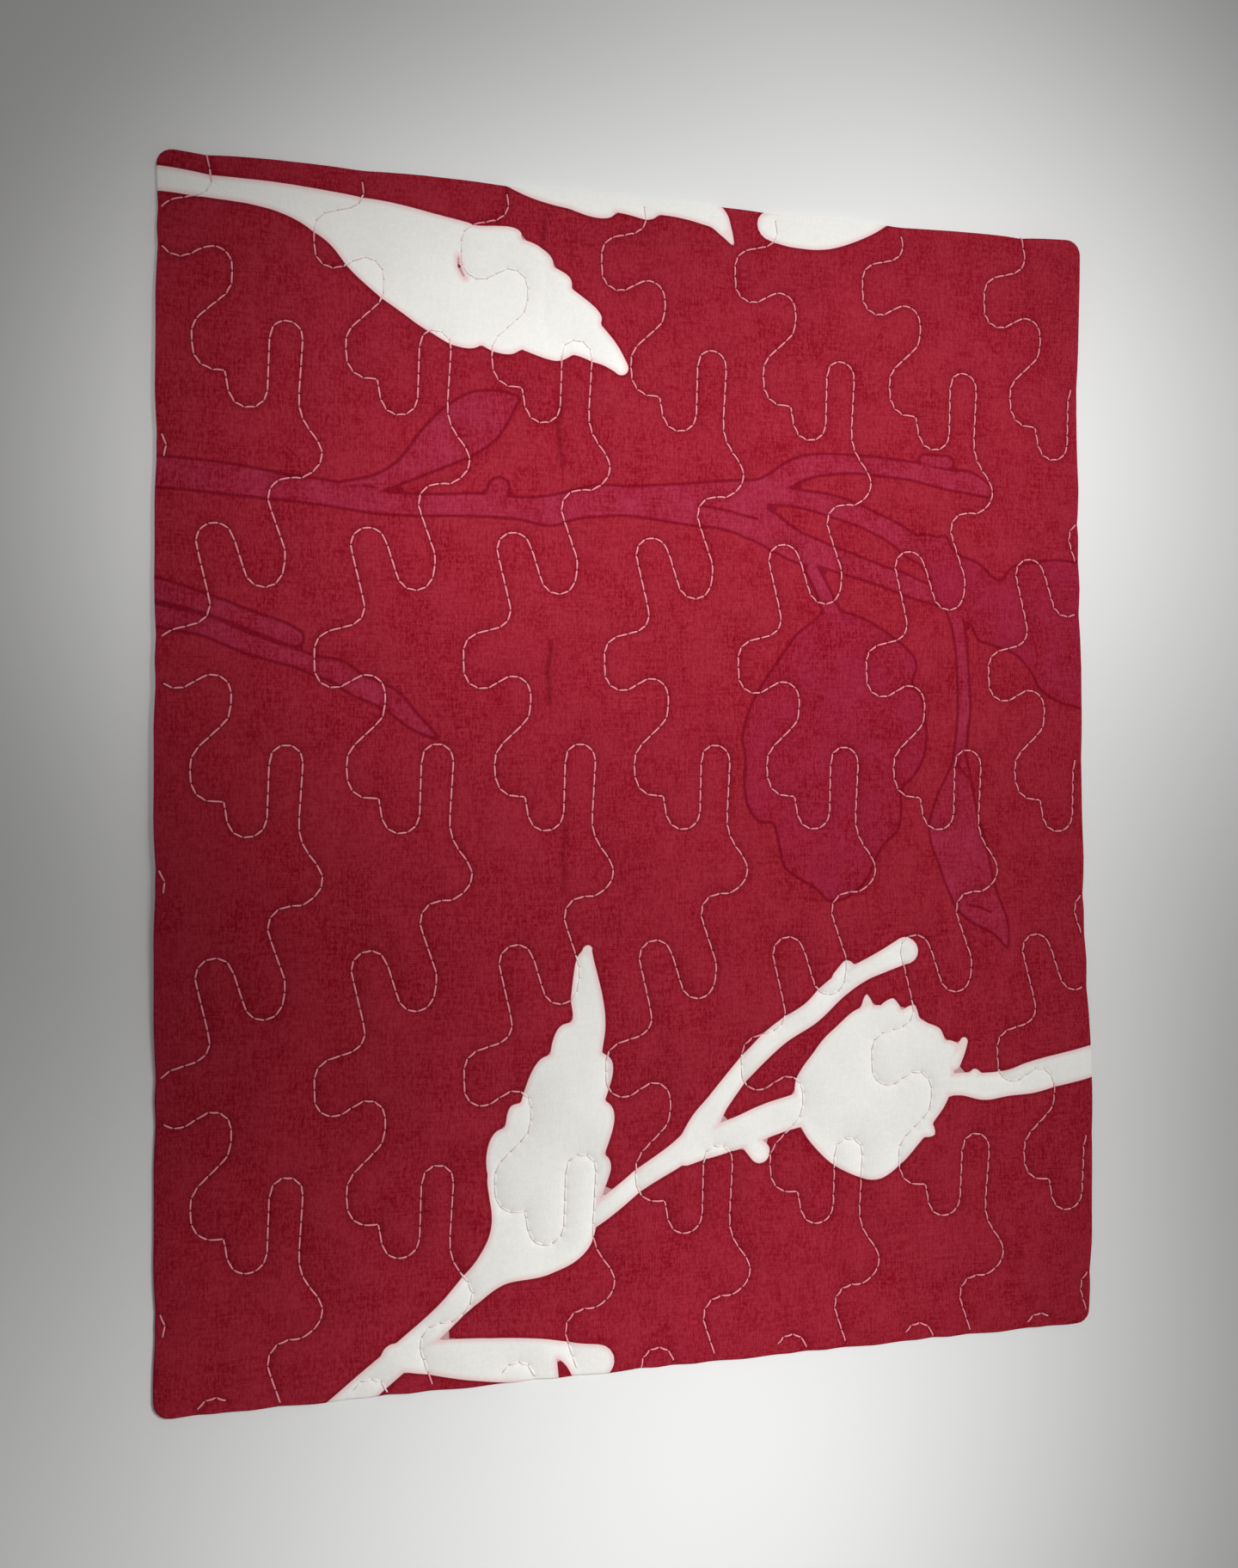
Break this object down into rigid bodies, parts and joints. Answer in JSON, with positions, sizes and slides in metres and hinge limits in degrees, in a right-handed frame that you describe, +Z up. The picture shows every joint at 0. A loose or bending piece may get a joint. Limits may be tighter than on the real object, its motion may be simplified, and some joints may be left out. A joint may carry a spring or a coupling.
{
  "type": "quilt",
  "caption": "Cut length of red printed quilt cloth, filled and machine quilted in wandering lanes, lying in soft low folds.",
  "frame": {"origin": "middle of the cut, on the surface that it lies on", "axes": "+X across the quilting lanes, +Y along them towards the top of the print, +Z up from the surface"},
  "size_m": [0.5192, 0.6349, 0.0129],
  "materials": {
    "red_cotton": "matt plain-weave printed cotton, filled and quilted",
    "sewing_thread": "pale twisted sewing thread"
  },
  "bodies": {
    "root": {"quilt": "red_cotton"}
  },
  "joints": []
}
